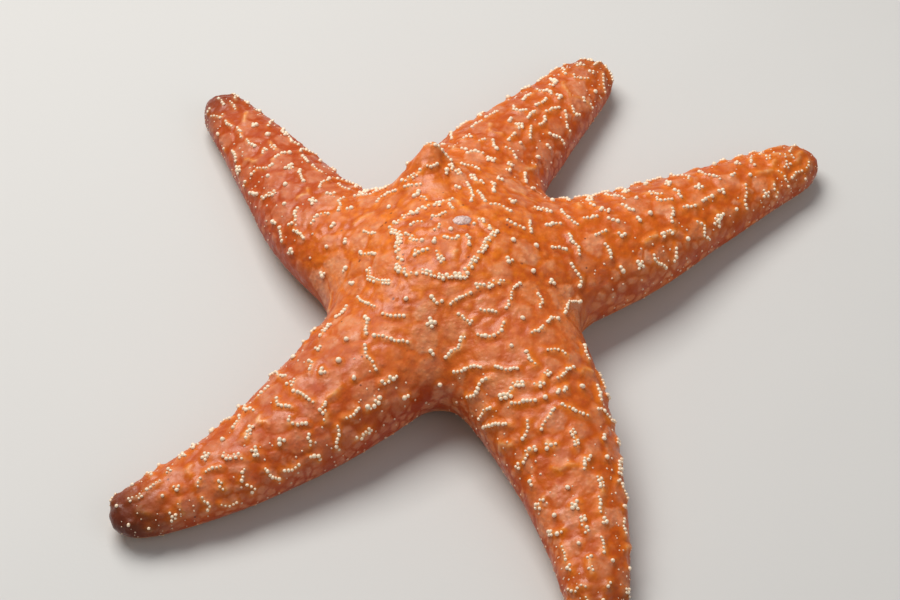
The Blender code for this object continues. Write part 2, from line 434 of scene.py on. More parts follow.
# The large smooth patches lie in the wide meshes of the net; tone 0 is bright orange and 1 pale pink. Their pale pink
# is partly the soft skin's own colour and partly a painted reflection on wet flat skin, palest and sharpest on the
# rear-left arm.
PATCH_TRIES = 400
LARGEST_PATCH = 3.5 * MM
PATCH_CLEARING = 2.0 * MM  # from the net's lines
PATCHES_APART = 6.5 * MM
PATCH_TONES = {"rear_left": (0.75, 1.0), "left": (0.6, 0.95)}  # on the arms; elsewhere:
COMMON_TONES = (0.6, 1.1)


def patch_tries(surface, arms, chance):
    """Spots that a large patch might take, each with its range of tones."""
    for _ in range(PATCH_TRIES):
        place = polar(40.0 * math.sqrt(chance.random()), chance.uniform(0.0, 360.0)) * MM
        yield surface.from_above(*place), COMMON_TONES
    for arm in arms:
        for _ in range(PATCH_TRIES // 2):
            reach = chance.uniform(NET_START * MM, arm.length - 8 * MM)
            yield surface.on_arm(arm, reach, chance.uniform(-70, 70)), PATCH_TONES.get(arm.name, COMMON_TONES)


def large_patches(surface, arms, lines, chance):
    patches = []
    for spot, tones in patch_tries(surface, arms, chance):
        if spot is None:
            continue
        away = lines.find(spot[0])[2]
        apart = min(((patch.place - spot[0]).length for patch in patches), default=1.0)
        if away > PATCH_CLEARING and apart > PATCHES_APART:
            patches.append(Patch(spot[0], min(away, LARGEST_PATCH) * 0.85, chance.uniform(*tones)))
    return patches


def disc_patches(surface, arms, chance):
    """Small soft patches on the disc, in staggered rows."""
    patches = []
    step = 4.0
    for row in range(-13, 14):
        for column in range(-13, 14):
            x = (column + 0.5 * (row % 2) + chance.uniform(-0.36, 0.36)) * step
            y = (row * 0.87 + chance.uniform(-0.34, 0.34)) * step
            spot = surface.from_above(x * MM, y * MM)
            if spot is None or math.hypot(x, y) > 52 or on_some_arm(arms, x, y):
                continue
            leftness = step_up(6.0, -16.0, x - 0.35 * y)
            pale = chance.random() < 0.86 - 0.5 * leftness
            patches.append(Patch(spot[0], 0.0, chance.uniform(0.3, 0.9) if pale else chance.uniform(0.0, 0.25)))
    return patches


def on_some_arm(arms, x, y):
    reach = math.hypot(x, y) * MM
    flat = np.array((x, y)) * MM
    return reach > 33 * MM and any(
        abs(float(arm.offset(flat, reach))) < arm.half_width(reach) and float(flat @ arm.place(reach)) > 0
        for arm in arms
    )


def arm_patches(surface, arm, chance):
    """Soft patches on an arm: rounded ones over its top, narrower upright ones down its flanks."""
    patches = []
    bright = arm.name == "rear_left"
    for low, high, along, round_arm in ((0, 50, 4.1, 4.4), (50, 112, 2.7, 4.2)):
        reach, row = 33.0, 0
        while reach < arm.length / MM + 1.0:
            small = 1.0 - 0.3 * step_up(70.0, 120.0, reach)
            width = max(arm.half_width(reach * MM) / MM, 6.0)
            turn = math.degrees(round_arm * small / (width * 0.95))
            count = max(2, round((2 * high if low == 0 else high - low) / turn))
            for index in range(count + 1):
                share = (index + 0.5 * (row % 2) + chance.uniform(-0.34, 0.34)) / count
                sides = (1,) if low == 0 else (-1, 1)
                for side in sides:
                    angle = -high + 2 * high * share if low == 0 else side * (low + 4 + (high - low) * share)
                    at = (reach + chance.uniform(-0.36, 0.36) * along) * MM
                    spot = surface.on_arm(arm, at, angle)
                    if spot is None:
                        continue
                    pale = chance.random() < (0.25 if bright else 0.75)
                    tone = chance.uniform(0.3, 0.9) if pale else chance.uniform(0.0, 0.3)
                    if low > 0 and pale:
                        tone = chance.uniform(0.8, 1.3)
                    patches.append(Patch(spot[0], 0.0, tone))
            reach += along * small
            row += 1
    return patches


def side_beads(surface, arm, chance):
    """Small beads in loose columns down an arm's two flanks, and scattered over its tip."""
    beads = []
    reach = 36.0
    while reach < arm.length / MM - 2.0:
        for side in (-1, 1):
            for angle in range(46, 104, 8):
                near_tip = reach > arm.length / MM - 22.0
                if chance.random() > (0.62 if near_tip else 0.36):
                    continue
                turn = side * (angle + chance.uniform(-3, 3))
                spot = surface.on_arm(arm, (reach + chance.uniform(-0.7, 0.7)) * MM, turn)
                if spot is not None and spot[0].z > UNDERSIDE_LEVEL:
                    beads.append((*spot, chance.uniform(0.75, 1.25)))
        for _ in range(2):
            angle = chance.uniform(-50, 50)
            if chance.random() < 0.4 and reach > 42:
                spot = surface.on_arm(arm, (reach + chance.uniform(-1, 1)) * MM, angle)
                if spot is not None:
                    beads.append((*spot, chance.uniform(0.7, 1.1)))
        reach += 3.1
    return beads


class Beadwork:
    """Every bead and line on the skin."""

    def __init__(self, surface, arms):
        chance = random.Random(11)
        self.surface = surface
        self.beads, self.small, self.chain_spots = [], [], []
        self.lay_on_disc(pentagon_chains(chance), [], chance)
        for radius in INNER_ROWS:
            self.lay_on_disc(*round_row(PENTAGON_MIDDLE, radius, LONGEST_INNER_CHAIN, chance), chance)
        self.lay_on_disc(*round_row(RING_MIDDLE, RING_RADIUS, LONGEST_CHAIN, chance), chance)
        for radius in OUTER_ROWS:
            self.lay_on_disc(*round_row(PENTAGON_MIDDLE, radius, LONGEST_CHAIN, chance), chance)
        for arm in arms:
            reach = NET_START
            while reach < arm.length / MM - 4.0:
                outer = float(step_up(80.0, 115.0, reach))
                chains, clusters = across_row(arm, reach, LONGEST_CHAIN * (1.0 - 0.35 * outer), chance)
                self.lay_on_arm(arm, chains, clusters, chance)
                reach += ARM_ROW * (1.0 - 0.2 * outer) * chance.uniform(0.85, 1.15)
        for arm in arms:
            self.small += side_beads(surface, arm, chance)
        taken = tree_of([bead[0] for bead in self.beads])
        self.small = [bead for bead in self.small if taken.find(bead[0])[2] > 1.2 * MM]
        self.patches = large_patches(surface, arms, tree_of(self.chain_spots), chance)
        large = tree_of([patch.place for patch in self.patches])
        small = disc_patches(surface, arms, chance)
        for arm in arms:
            small += arm_patches(surface, arm, chance)
        for patch in small:
            _, index, away = large.find(patch.place)
            if away > self.patches[index].radius + 1.3 * MM:
                self.patches.append(patch)

    def lay_on_disc(self, chains, clusters, chance):
        """Adds a row on the disc where earlier rows leave room, as far out as the arms' own rows."""
        taken = tree_of(self.chain_spots)
        for chain in chains:
            if max(place.length for place in map(Vector, chain.line)) < NET_START - 2.0:
                fine = disc_line(self.surface, chain.line, 0.2 * BEAD_STEP)
                self.add_chain(fine, chain._replace(size=chain.size * DISC_BEADS), taken, chance)
        for place, count in clusters:
            if place.length < NET_START - 2.0:
                self.add_cluster(self.surface.from_above(*(place * MM)), count, taken, chance)

    def lay_on_arm(self, arm, chains, clusters, chance):
        taken = tree_of(self.chain_spots)
        for chain in chains:
            fine = arm_line(self.surface, arm, chain.line, 0.2 * BEAD_STEP)
            self.add_chain(fine, chain, taken, chance)
        for place, count in clusters:
            self.add_cluster(self.surface.on_arm(arm, place.x * MM, place.y), count, taken, chance)

    def add_chain(self, fine, chain, taken, chance):
        """Adds a chain but for the stretches that come too close to an earlier row."""
        fine = [spot for spot in fine if is_clear(taken, spot[0])]
        if not fine:
            return
        self.chain_spots += [spot[0] for spot in fine]
        if chance.random() > BARE_SHARE:
            self.beads += chain_beads(even_steps(fine, BEAD_STEP * chain.size), chain, chance)

    def add_cluster(self, spot, count, taken, chance):
        if spot is None or not is_clear(taken, spot[0]):
            return
        found = cluster_beads(spot, count, chance)
        self.chain_spots += [bead[0] for bead in found]
        self.beads += found


def is_clear(tree, place):
    """Whether a place keeps off the sieve plate and off the lines in a tree."""
    away = tree.find(place)[2]
    return (away is None or away > LINE_CLEARING * MM) and (place - PLATE_MIDDLE).length > PLATE_CLEARING


def tree_of(places):
    tree = KDTree(len(places))
    for index, place in enumerate(places):
        tree.insert(place, index)
    tree.balance()
    return tree


def nearest(tree, places):
    return np.array([tree.find(place)[2] for place in places])


# --- the markings, the same for skin and coat -------------------------------------------------------


TIP_DARKNESS = {"front": 0.5, "left": 1.0, "rear_left": 0.7, "rear_right": 0.4, "right": 0.25}
DEEP_GROUND_AND_SHADE = {"front": 0.3, "left": 0.65, "rear_left": 0.85, "rear_right": 0.55, "right": 0.15}  # how far each arm's ground turns red-brown: partly its own deeper colour and partly painted shade
SWELLINGS = {"front": 1.0, "left": 0.85, "rear_left": 0.25, "rear_right": 0.7, "right": 0.85}  # how far arms swell
SPECK_COUNT = 20
SPECKS_WITHIN = 30 * MM


class Markings:
    """The values that the skin's relief and colours follow, at any place on it."""

    def __init__(self, arms, work, surface):
        self.arms = arms
        chance = random.Random(7)
        turns = [chance.uniform(0.0, 360.0) for _ in range(SPECK_COUNT)]
        flat = [polar(SPECKS_WITHIN * math.sqrt(chance.random()), turn) for turn in turns]
        specks = [surface.from_above(*place) for place in flat]
        self.speck_tree = tree_of([spot[0] for spot in specks if spot is not None])
        self.chain_tree = tree_of(work.chain_spots)
        self.patches = work.patches
        self.patch_tree = tree_of([patch.place for patch in work.patches])

    def patch_at(self, place):
        """The distance from a place to the edge of its patch, and the patch's tone."""
        found = sorted((away - self.patches[index].radius, index) for _, index, away in self.patch_tree.find_n(place, 5))
        (own, index), (other, neighbour) = found[:2]
        apart = (self.patches[index].place - self.patches[neighbour].place).length
        reach = other + own + self.patches[index].radius + self.patches[neighbour].radius
        return (other - own) * min(1.0, reach / (2 * apart)), self.patches[index].tone

    def tip_nearness(self, places):
        """From 0 to 1 over the outer third of the arms."""
        flat = places[:, :2] - np.array(MIDDLE.xy)
        return step_up(74 * MM, 118 * MM, np.linalg.norm(flat, axis=1))

    def at(self, places, normals):
        flat = places[:, :2] - np.array(MIDDLE.xy)
        reach = np.linalg.norm(flat, axis=1)
        share = np.zeros(len(places))
        dark = np.zeros(len(places))
        deep = np.zeros(len(places))
        swelling = np.zeros(len(places))
        for arm in self.arms:
            beside = np.abs(arm.offset(flat, reach)) < 26 * MM
            ahead = (flat * arm.place(reach)).sum(1) > 0
            own = beside & ahead & (reach / arm.length > share)
            share = np.where(own, reach / arm.length, share)
            dark = np.where(own, TIP_DARKNESS[arm.name], dark)
            # the red-brown ground along each arm: partly its own deeper colour and partly painted shade, most on the
            # rear-left arm
            deep = np.where(own, DEEP_GROUND_AND_SHADE[arm.name] * step_up(34 * MM, 56 * MM, reach), deep)
            swelling = np.where(own, SWELLINGS[arm.name], swelling)
        chain = nearest(self.chain_tree, places)
        wobble = wander(places, 2.4 * MM, 1)
        edge, tone = np.array([self.patch_at(place) for place in places]).T
        under = step_up(0.25, 0.75, -normals[:, 2]) * step_up(9 * MM, 6 * MM, places[:, 2])
        # painted shade in part: the sideways-facing flank between the left and front arms turns red-brown, partly also
        # its own colour
        between = step_up(34 * MM, 26 * MM, np.hypot(flat[:, 0] + 33 * MM, flat[:, 1] + 42 * MM))
        deep = np.maximum(deep, 0.9 * between * step_up(0.8, 0.4, normals[:, 2]))
        blur = PATCH_EDGE * (1 - 0.7 * np.maximum(deep, step_up(0.8, 0.95, tone)))
        return {
            "ridge": np.exp(-((chain / RIDGE_WIDTH) ** 2)),
            "swell": np.exp(-((chain / SWELL_WIDTH) ** 2)) * swelling * step_up(26 * MM, 44 * MM, reach),
            "trough": np.exp(-(((chain - TROUGH_AT) / TROUGH_WIDTH) ** 2)),
            "puff": step_up(0.0, 1.6 * MM, edge) * (1 - under),
            "patch": step_up(NET_LINE, NET_LINE + blur, edge + wobble * 0.45 * MM) * tone * (1 - under),
            # flank: how far the skin faces sideways; it darkens the flanks as painted shade and lowers the puffs there
            "flank": step_up(0.75, 0.05, normals[:, 2]) * (1 - under),
            "tip": step_up(0.83, 0.98, share) * dark,
            "under": under,
            "glow": step_up(48 * MM, 12 * MM, reach + (flat[:, 0] - 0.6 * flat[:, 1]) * 0.35),
            "deep": deep,
            "tan": step_up(-4 * MM, -34 * MM, flat[:, 1] - 0.15 * flat[:, 0]) * step_up(64 * MM, 42 * MM, reach),
            "speck": np.exp(-((nearest(self.speck_tree, places) / (0.5 * MM)) ** 2)),
        }


def relief(values, places):
    """How far the skin stands out at each place."""
    height = RIDGE_HEIGHT * values["ridge"] - TROUGH_DEPTH * values["trough"]
    height += SWELL_HEIGHT * values["swell"]
    height += PUFF_HEIGHT * values["puff"] * (1.0 - 0.55 * values["flank"]) * (1.0 - values["ridge"])
    height += 0.07 * MM * wander(places, 4.0 * MM, 2) + 0.22 * MM * wander(places, 15 * MM, 3)
    away = np.linalg.norm(places - np.array(PLATE_MIDDLE), axis=1)
    return height * (1.0 - values["under"]) * step_up(0.7 * PLATE_CLEARING, 1.3 * PLATE_CLEARING, away)


# --- the coat ---------------------------------------------------------------------------------------


def turn_to(normal, chance, lean=0.12):
    """Turns as Euler angles that stand a bead on the skin, a little askew."""
    askew = Vector((chance.gauss(0, lean), chance.gauss(0, lean), chance.gauss(0, lean)))
    return (normal + askew).to_track_quat("Z", "Y").to_euler()


def unwrapped(place, arms):
    """A place's spot on a flat unwrap of the skin: the disc and each arm by its lengths along and round."""
    flat = np.array((place - MIDDLE).xy)
    reach = float(np.linalg.norm(flat))
    scale = 2.9
    for index, arm in enumerate(arms):
        side = float(arm.offset(flat, reach))
        ahead = float(flat @ arm.place(reach)) > 0
        width = arm.half_width(reach)
        if ahead and abs(side) < width * 1.1 and reach > 38 * MM:
            level = 0.45 * width
            round_arm = math.atan2(side, place.z - level) * max(width * 0.8, 4 * MM)
            return 0.45 + (reach - 36 * MM) * scale * 1.6, 0.1 + 0.2 * index + round_arm * scale
    dome = 1.0 + (36 * MM - place.z) * 4.0
    return 0.22 + flat[0] * scale * 1.2 * dome, 0.5 + flat[1] * scale * 1.2 * dome


def scatter_tree(name, piece):
    """Geometry nodes that put a piece on every point and lay its map on the point's own spot."""
    tree = bpy.data.node_groups.new(name, "GeometryNodeTree")
    tree.interface.new_socket("Geometry", in_out="INPUT", socket_type="NodeSocketGeometry")
    tree.interface.new_socket("Geometry", in_out="OUTPUT", socket_type="NodeSocketGeometry")
    link = tree.links.new

    def value_of(key):
        node = tree.nodes.new("GeometryNodeInputNamedAttribute")
        node.data_type = "FLOAT_VECTOR"
        node.inputs["Name"].default_value = key
        return next(s for s in node.outputs if s.enabled and s.name == "Attribute")

    source = tree.nodes.new("NodeGroupInput")
    info = tree.nodes.new("GeometryNodeObjectInfo")
    info.inputs["Object"].default_value = piece
    turned = tree.nodes.new("FunctionNodeEulerToRotation")
    link(value_of("turn"), turned.inputs[0])
    placed = tree.nodes.new("GeometryNodeInstanceOnPoints")
    link(source.outputs[0], placed.inputs["Points"])
    link(info.outputs["Geometry"], placed.inputs["Instance"])
    link(turned.outputs[0], placed.inputs["Rotation"])
    link(value_of("size"), placed.inputs["Scale"])
    real = tree.nodes.new("GeometryNodeRealizeInstances")
    link(placed.outputs[0], real.inputs[0])
    spot = tree.nodes.new("ShaderNodeVectorMath")
    spot.operation = "MULTIPLY_ADD"
    link(value_of("own_map"), spot.inputs[0])
    link(value_of("spot_size"), spot.inputs[1])
    link(value_of("spot"), spot.inputs[2])
    store = tree.nodes.new("GeometryNodeStoreNamedAttribute")
    store.data_type = "FLOAT2"
    store.domain = "CORNER"
    store.inputs["Name"].default_value = "OFBake"
    link(real.outputs[0], store.inputs["Geometry"])
    link(spot.outputs[0], next(s for s in store.inputs if s.enabled and s.name == "Value"))
    result = tree.nodes.new("NodeGroupOutput")
    link(store.outputs[0], result.inputs[0])
    return tree


Root = namedtuple("Root", "place turn size spot")


def scattered(name, piece, roots, values, spot_size):
    """One joined mesh with a copy of a piece at every root, and the markings at its root on each copy."""
    points = bpy.data.meshes.new(name)
    points.vertices.add(len(roots))
    points.vertices.foreach_set("co", np.array([r.place for r in roots], np.float32).ravel())
    give_vectors(points, "turn", [tuple(r.turn) for r in roots])
    give_vectors(points, "size", [tuple(r.size) for r in roots])
    give_vectors(points, "spot", [(r.spot[0], r.spot[1], 0.0) for r in roots])
    give_vectors(points, "spot_size", [(spot_size, spot_size, 0.0)] * len(roots))
    for key, found in values.items():
        give_values(points, key, found)
    thing = new_object(name, points)
    scatter = thing.modifiers.new("scatter", "NODES")
    scatter.node_group = scatter_tree(name + "_scatter", piece)
    settled(thing)
    for key in ("turn", "size", "spot", "spot_size"):
        thing.data.attributes.remove(thing.data.attributes[key])
    thing.data.uv_layers.remove(thing.data.uv_layers["own_map"])
    thing.data.uv_layers["OFBake"].active_render = True
    thing.data.shade_smooth()
    remove(piece)
    return thing


def mapped_object(name, shape):
    """A template whose height runs up its own small map and whose sides run round it."""
    own_map = shape.loops.layers.uv.new("own_map")
    low = min(v.co.z for v in shape.verts)
    high = max(v.co.z for v in shape.verts)
    for face in shape.faces:
        middle = face.calc_center_median()
        around = math.atan2(middle.y, middle.x)
        for loop in face.loops:
            place = loop.vert.co
            turn = math.atan2(place.y, place.x) if place.xy.length > 1e-4 else around
            turn = around + (turn - around + math.pi) % math.tau - math.pi
            share = (turn / math.tau + 0.5) % 1.0 if abs(turn) < math.pi else (0.0 if turn < 0 else 1.0)
            loop[own_map].uv = (min(max(share, 0.0), 1.0), (place.z - low) / (high - low))
    levels = shape.verts.layers.float.new("height")
    for vert in shape.verts:
        vert[levels] = (vert.co.z - low) / (high - low)
    return mesh_object(name, shape)


def bead_piece():
    """A round-topped knob, its foot sunk below zero."""
    shape = bmesh.new()
    bmesh.ops.create_uvsphere(shape, u_segments=8, v_segments=5, radius=1.0)
    for vert in shape.verts:
        if vert.co.z < -0.1:
            vert.co.xy *= 1.12
        vert.co.z = vert.co.z * 0.95 - 0.12
    return mapped_object("bead_piece", shape)


def peg_piece():
    """A blunt spine that points along +Z, one unit tall."""
    shape = bmesh.new()
    profile = ((0.0, -0.25), (0.42, -0.2), (0.34, 0.25), (0.40, 0.72), (0.26, 0.95), (0.0, 1.0))
    return mapped_object("peg_piece", spun(shape, profile, 6))


def spun(shape, profile, steps):
    """Turns a profile of (radius, height) points round the Z axis."""
    verts = [shape.verts.new((radius, 0.0, height)) for radius, height in profile]
    edges = [shape.edges.new(pair) for pair in zip(verts, verts[1:])]
    bmesh.ops.spin(shape, geom=verts + edges, cent=(0, 0, 0), axis=(0, 0, 1), angle=math.tau, steps=steps,
                   use_merge=True, use_duplicate=False)
    bmesh.ops.remove_doubles(shape, verts=shape.verts, dist=1e-5)
    bmesh.ops.recalc_face_normals(shape, faces=shape.faces)
    return shape


def foot_piece():
    """A tube foot that hangs down from zero by one unit and ends in a sucker."""
    profile = ((0.0, 0.1), (0.20, 0.08), (0.17, -0.35), (0.15, -0.72), (0.24, -0.86), (0.34, -0.95),
               (0.28, -1.0), (0.12, -0.96), (0.0, -0.92))
    return mapped_object("foot_piece", spun(bmesh.new(), profile, 7))


def bead_coat(name, beads, radius, markings, arms, chance, tall=1.0):
    places = np.array([bead[0] for bead in beads])
    normals = np.array([bead[1] for bead in beads])
    values = markings.at(places, normals)
    raised = places + normals * relief(values, places)[:, None]
    nearness = markings.tip_nearness(places)
    roots = []
    for place, (flat, normal, size), tip in zip(raised, beads, nearness):
        girth = radius * size * (1.0 - 0.3 * tip)
        wide, deep = girth * chance.uniform(0.86, 1.16), girth * chance.uniform(0.86, 1.16)
        roots.append(Root(place, turn_to(normal, chance), (wide, deep, girth * tall * chance.uniform(0.8, 1.15)),
                          unwrapped(flat, arms)))
    piece = bead_piece()
    return scattered(name, piece, roots, values, SPOT_WIDTH)


# --- the underside ----------------------------------------------------------------------------------


def groove_pegs(surface, arm, chance):
    """Rows of pegs along both edges of an arm's groove and over the flat beside it, as (place, tip)."""
    pegs = []
    reach = 15.0
    while reach < arm.length / MM - 6.0:
        width = arm.half_width(reach * MM) / MM
        groove = 4.6 * (1 - 0.45 * reach / (arm.length / MM)) + 1.0
        x, y = arm.place(reach * MM)
        along = arm.heading(reach * MM)
        side = Vector((-along[1], along[0], 0.0))
        across = groove
        row = 0
        while across < width * 0.5 and (reach > 30 or across < groove + 7):
            for sign in (-1, 1):
                shift = chance.uniform(-0.35, 0.35)
                at = MIDDLE + Vector((x, y, 0.0)) + side * sign * (across + shift) * MM
                at += Vector((along[0], along[1], 0.0)) * (0.9 * (row % 2) + chance.uniform(-0.3, 0.3)) * MM
                spot = surface.from_below(at.x, at.y)
                if spot is None or spot[0].z > 2.6 * MM or spot[1].z > -0.5:
                    continue
                lean = -side * sign * (0.5 if row == 0 else 0.0) + Vector((0, 0, -1.0))
                lean += Vector((chance.gauss(0, 0.12), chance.gauss(0, 0.12), 0.0))
                pegs.append((spot[0], lean.normalized(), 1.25 if row == 0 else chance.uniform(0.8, 1.0)))
            across += 1.9 if row else 1.5
            row += 1
        reach += 1.9
    return pegs


def jaw_pegs(surface, arms, chance):
    """Longer spines round the mouth, between the starts of the grooves."""
    pegs = []
    headings = sorted(math.atan2(*reversed(arm.place(20 * MM))) for arm in arms)
    for a, b in zip(headings, headings[1:] + [headings[0] + math.tau]):
        for ring, count in ((10.6, 4), (12.4, 5), (14.6, 5), (16.8, 6), (19.2, 7), (21.6, 8)):
            for index in range(count):
                turn = a + (b - a) * (0.24 + 0.52 * index / (count - 1))
                at = MIDDLE + Vector((math.cos(turn), math.sin(turn), 0.0)) * ring * MM
                spot = surface.from_below(at.x, at.y)
                if spot is None or spot[0].z > 5.0 * MM:
                    continue
                inward = (MIDDLE - at).normalized() * (0.6 if ring < 11 else 0.0)
                pegs.append((spot[0], (inward + Vector((0, 0, -1.0))).normalized(), 1.3 if ring < 13 else 0.95))
    return pegs


def girth_slack(lean, size):
    """How much shorter a leaning peg must be for its blunt end to stay above the floor."""
    return 1.55 * MM * size * math.sqrt(max(0.0, 1.0 - lean.z * lean.z))


def peg_coat(surface, arms, markings, chance):
    pegs = [peg for arm in arms for peg in groove_pegs(surface, arm, chance)]
    pegs += jaw_pegs(surface, arms, chance)
    places = np.array([peg[0] for peg in pegs])
    values = markings.at(places, np.tile((0.0, 0.0, -1.0), (len(pegs), 1)))
    roots = []
    for place, lean, size in pegs:
        tall = (place.z - 0.05 * MM) / -lean.z - 0.4 * girth_slack(lean, size)
        girth = 1.55 * MM * size
        roots.append(Root(place, lean.to_track_quat("Z", "Y").to_euler(), (girth, girth, tall), unwrapped(place, arms)))
    return scattered("underside_pegs", peg_piece(), roots, values, SPOT_WIDTH)


def tube_feet(surface, arm, chance):
    """Four rows of suckered feet that hang in an arm's groove."""
    low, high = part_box("tube_feet_" + arm.name)
    roots = []
    reach = 13.0
    row = 0
    while reach < arm.length / MM - 9.5:
        x, y = arm.place(reach * MM)
        along = arm.heading(reach * MM)
        side = Vector((-along[1], along[0], 0.0))
        taper = 1 - 0.45 * reach / (arm.length / MM)
        for across in ((-2.9, 0.95) if row % 2 else (-0.95, 2.9)):
            at = MIDDLE + Vector((x, y, 0.0)) + side * across * taper * MM
            at += Vector((along[0], along[1], 0.0)) * chance.uniform(-0.3, 0.3) * MM
            spot = surface.from_below(at.x, at.y, 0.1 * MM)
            if spot is None or spot[0].z > high.z + 3 * MM:
                continue
            lean = Euler((chance.gauss(0, 0.10), chance.gauss(0, 0.10), chance.uniform(0, math.tau)))
            tall = (spot[0].z - chance.uniform(0.5, 1.1) * MM) * 0.98
            girth = 3.1 * MM * taper
            cell = len(roots)
            spot_on_map = (0.01 + (cell % 16) * 0.0615, 0.01 + (cell // 16) * 0.0615)
            roots.append(Root(spot[0], lean, (girth, girth, tall), spot_on_map))
        reach += 1.25
        row += 1
    thing = scattered("tube_feet_rows_" + arm.name, foot_piece(), roots, {}, 0.055)
    return thing


def mouth_membrane():
    """The soft folded skin round the mouth, with a small opening in its middle."""
    low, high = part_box("mouth")
    radius = (high.x - low.x) / 2 + 0.3 * MM
    shape = bmesh.new()
    bmesh.ops.create_circle(shape, cap_ends=False, segments=80, radius=radius)
    ring = list(shape.edges)
    rings = 16
    for step in range(1, rings + 1):
        grown = bmesh.ops.extrude_edge_only(shape, edges=ring)["geom"]
        verts = [g for g in grown if isinstance(g, bmesh.types.BMVert)]
        ring = [g for g in grown if isinstance(g, bmesh.types.BMEdge) and all(v in set(verts) for v in g.verts)]
        share = step / rings
        goal = radius * (1 - 0.8 * share)
        for vert in verts:
            vert.co.xy = vert.co.xy.normalized() * goal
    for vert in shape.verts:
        share = 1 - vert.co.xy.length / radius
        turn = math.atan2(vert.co.y, vert.co.x)
        folds = math.cos(turn * 20 + 2.0 * math.sin(turn * 5)) * 0.28 * min(1.0, share * 3)
        rings_of_folds = math.cos(share * 26) * 0.14
        lip = 0.9 * math.exp(-(((share - 0.72) / 0.08) ** 2))
        vert.co.z = low.z + (2.6 + 1.4 * math.sin(share * 2.2) + folds + rings_of_folds - lip) * MM
    shape.transform(Matrix.Translation(MIDDLE))
    bmesh.ops.recalc_face_normals(shape, faces=shape.faces)
    bmesh.ops.solidify(shape, geom=list(shape.faces), thickness=0.5 * MM)
    thing = mesh_object("mouth_membrane", shape)
    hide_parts("mouth")
    return thing


def sieve_plate(surface):
    """The sieve plate: a low oval dome with meandering grooves that run out from its middle."""
    low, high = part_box("sieve_plate")
    middle = (low + high) / 2
    spot = surface.from_above(middle.x - MIDDLE.x, middle.y - MIDDLE.y)
    shape = bmesh.new()
    bmesh.ops.create_uvsphere(shape, u_segments=72, v_segments=36, radius=1.0)
    for vert in shape.verts:
        place = vert.co.copy()
        turn = math.atan2(place.y, place.x)
        out = place.xy.length
        bend = 1.6 * noise.noise(Vector((place.x * 2.2, place.y * 2.2, 1.7)))
        lines = math.cos(turn * 17 + bend * 5.0 + out * 4.0)
        depth = 0.07 * step_up(-0.2, 0.7, lines) * step_up(0.05, 0.3, out)
        if place.z > 0:
            vert.co *= 1.0 - depth
    turn = spot[1].to_track_quat("Z", "Y").to_matrix() @ Matrix.Rotation(math.radians(24), 3, "Z")
    size = Vector((2.8, 1.9, 0.9)) * MM
    base = spot[0] + spot[1] * 0.02 * MM
    shape.transform(Matrix.LocRotScale(base, turn, size))
    thing = mesh_object("sieve_plate_grooved", shape)
    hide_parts("sieve_plate")
    return thing


def eyespots(surface, arms):
    """The red eyespot on its small cushion under the tip of each arm."""
    shape = bmesh.new()
    for arm in arms:
        spot = surface.on_arm(arm, arm.length - 1.6 * MM, 0.0)
        if spot is None:
            continue
        along = Vector((*arm.heading(arm.length), 0.0))
        place = spot[0].copy()
        place.z = max(2.2 * MM, spot[0].z * 0.45)
        hit = surface.tree.ray_cast(place + along * 12 * MM, -along)[0]
        place = hit if hit is not None else place
        made = bmesh.ops.create_uvsphere(shape, u_segments=14, v_segments=8, radius=1.0)["verts"]
        size = Matrix.Diagonal((0.75 * MM, 0.95 * MM, 0.7 * MM, 1.0))
        turned = Matrix.Rotation(math.atan2(along.y, along.x), 4, "Z")
        bmesh.ops.transform(shape, matrix=Matrix.Translation(place) @ turned @ size, verts=made)
    return mesh_object("eyespots", shape)


# --- materials --------------------------------------------------------------------------------------


class Nodes:
    """Short ways to put nodes into a tree."""

    def __init__(self, tree):
        self.tree = tree

    def add(self, kind, **settings):
        node = self.tree.nodes.new(kind)
        for key, value in settings.items():
            setattr(node, key, value)
        return node

    def feed(self, socket, value):
        if isinstance(value, bpy.types.NodeSocket):
            self.tree.links.new(value, socket)
        else:
            socket.default_value = value

    def value(self, name):
        return self.add("ShaderNodeAttribute", attribute_name=name).outputs["Fac"]

    def math(self, operation, a, b=0.0, clamp=False):
        node = self.add("ShaderNodeMath", operation=operation, use_clamp=clamp)
        self.feed(node.inputs[0], a)
        self.feed(node.inputs[1], b)
        return node.outputs[0]

    def mix(self, share, a, b, blend="MIX"):
        node = self.add("ShaderNodeMix", data_type="RGBA", blend_type=blend)
        self.feed(node.inputs[0], share)
        self.feed(node.inputs[6], a)
        self.feed(node.inputs[7], b)
        return node.outputs[2]

    def ramp(self, value, low, high, start=0.0, end=1.0):
        node = self.add("ShaderNodeMapRange", interpolation_type="SMOOTHSTEP")
        self.feed(node.inputs["Value"], value)
        self.feed(node.inputs["From Min"], low)
        self.feed(node.inputs["From Max"], high)
        self.feed(node.inputs["To Min"], start)
        self.feed(node.inputs["To Max"], end)
        return node.outputs["Result"]

    def noise(self, vector, scale, detail=3.0, rough=0.55, distortion=0.0):
        node = self.add("ShaderNodeTexNoise")
        self.feed(node.inputs["Vector"], vector)
        node.inputs["Scale"].default_value = scale
        node.inputs["Detail"].default_value = detail
        node.inputs["Roughness"].default_value = rough
        node.inputs["Distortion"].default_value = distortion
        return node.outputs["Fac"]

    def cells(self, vector, scale, feature="F1", randomness=1.0):
        node = self.add("ShaderNodeTexVoronoi", feature=feature)
        self.feed(node.inputs["Vector"], vector)
        node.inputs["Scale"].default_value = scale
        node.inputs["Randomness"].default_value = randomness
        return node.outputs["Distance"]


def new_group(name, inputs, outputs):
    """An empty shader node group with named sockets, as (kind, name, default)."""
    group = bpy.data.node_groups.new(name, "ShaderNodeTree")
    for kind, label, value in inputs:
        socket = group.interface.new_socket(label, in_out="INPUT", socket_type="NodeSocket" + kind)
        if value is not None:
            socket.default_value = value
    for kind, label in outputs:
        group.interface.new_socket(label, in_out="OUTPUT", socket_type="NodeSocket" + kind)
    nodes = Nodes(group)
    return group, nodes, nodes.add("NodeGroupInput").outputs, nodes.add("NodeGroupOutput").inputs


